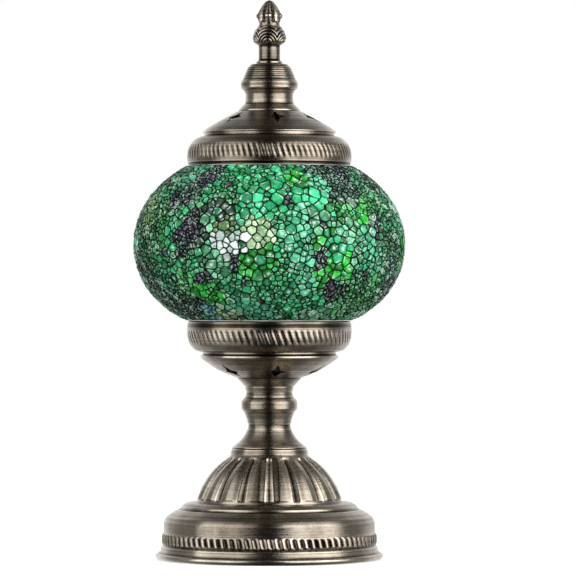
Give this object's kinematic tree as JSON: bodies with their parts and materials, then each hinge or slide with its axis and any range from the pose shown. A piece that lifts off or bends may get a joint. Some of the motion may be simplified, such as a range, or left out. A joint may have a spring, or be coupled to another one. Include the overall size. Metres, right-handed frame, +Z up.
{
  "type": "mosaic glass table lamp",
  "caption": "Table lamp with an oblate mosaic glass globe held between a pierced metal cup and cap on a turned, fluted metal stand.",
  "frame": {"origin": "centre of the felt pad's underside, on the surface that the lamp stands on", "axes": "+Z up along the lamp's axis; the front faces -Y and the cord inlet is at the back, +Y"},
  "size_m": [0.1704, 0.1704, 0.3506],
  "materials": {
    "aged_bronze": "antiqued, brushed, satin",
    "plain_steel": "zinc plated, satin",
    "cast_weight": "rough cast, black",
    "green_felt": "pressed wool felt",
    "black_rubber": "matt",
    "seat_foam": "matt",
    "brass_plain": "bright",
    "moulded_plastic": "satin",
    "nylon": "satin",
    "lead_jacket": "satin",
    "clear_glass": "polished",
    "mosaic_glass": "glossy crackled glass chips in black grout",
    "bulb_glass": "polished",
    "filament": "satin"
  },
  "bodies": {
    "root": {"felt_pad": "green_felt", "base_plate": "plain_steel", "base_weight": "cast_weight", "base_shell": "aged_bronze", "cord_grommet": "black_rubber", "fluted_dome": "aged_bronze", "stem_trumpet": "aged_bronze", "stem_spool": "aged_bronze", "cup_shell": "aged_bronze", "cup_seat_ring": "seat_foam", "threaded_pipe": "plain_steel", "lower_washer": "plain_steel", "lower_nut": "plain_steel", "cup_washer": "plain_steel", "cup_nut": "plain_steel", "harp_nut": "plain_steel", "harp": "plain_steel", "harp_stud": "plain_steel", "stud_nuts": "plain_steel", "holder_cap": "plain_steel", "holder_body": "moulded_plastic", "holder_insulator": "moulded_plastic", "screw_shell": "brass_plain", "contact_tongue": "brass_plain", "terminal_screws": "brass_plain", "lead_live": "lead_jacket", "lead_neutral": "lead_jacket", "crimp_caps": "nylon"},
    "globe": {"glass_globe": "clear_glass", "mosaic_layer": "mosaic_glass"},
    "cap": {"cap_shell": "aged_bronze", "cap_spool": "aged_bronze", "cap_seat_ring": "seat_foam"},
    "finial_insert": {"finial_insert": "brass_plain"},
    "finial": {"finial": "aged_bronze"},
    "bulb_button": {"bulb_tip": "brass_plain"},
    "bulb": {"bulb_insulator": "moulded_plastic", "bulb_base": "brass_plain", "bulb_stem": "bulb_glass", "bulb_filaments": "filament", "bulb_envelope": "bulb_glass"}
  },
  "joints": [
    {"name": "globe_lift", "type": "slide", "parent": "root", "child": "globe", "axis": [0, 0, 1], "range_m": [0, 0.175]},
    {"name": "cap_lift", "type": "slide", "parent": "globe", "child": "cap", "axis": [0, 0, 1], "range_m": [0, 0.08]},
    {"name": "finial_rise", "type": "slide", "parent": "cap", "child": "finial_insert", "axis": [0, 0, 1], "range_m": [0, 0.008]},
    {"name": "finial_turn", "type": "hinge", "parent": "finial_insert", "child": "finial", "pos_m": [0, 0, 0.33], "axis": [0, 0, 1], "range_deg": [0, 2890]},
    {"name": "bulb_rise", "type": "slide", "parent": "root", "child": "bulb_button", "axis": [0, 0, 1], "range_m": [0, 0.0102]},
    {"name": "bulb_turn", "type": "hinge", "parent": "bulb_button", "child": "bulb", "pos_m": [0, 0, 0.15], "axis": [0, 0, 1], "range_deg": [0, 1440]}
  ],
  "couplings": [
    {"joint": "finial_turn", "follows": "finial_rise", "rad_per_m": 6283.2},
    {"joint": "bulb_rise", "follows": "bulb_turn", "m_per_rad": 0.00040425}
  ]
}
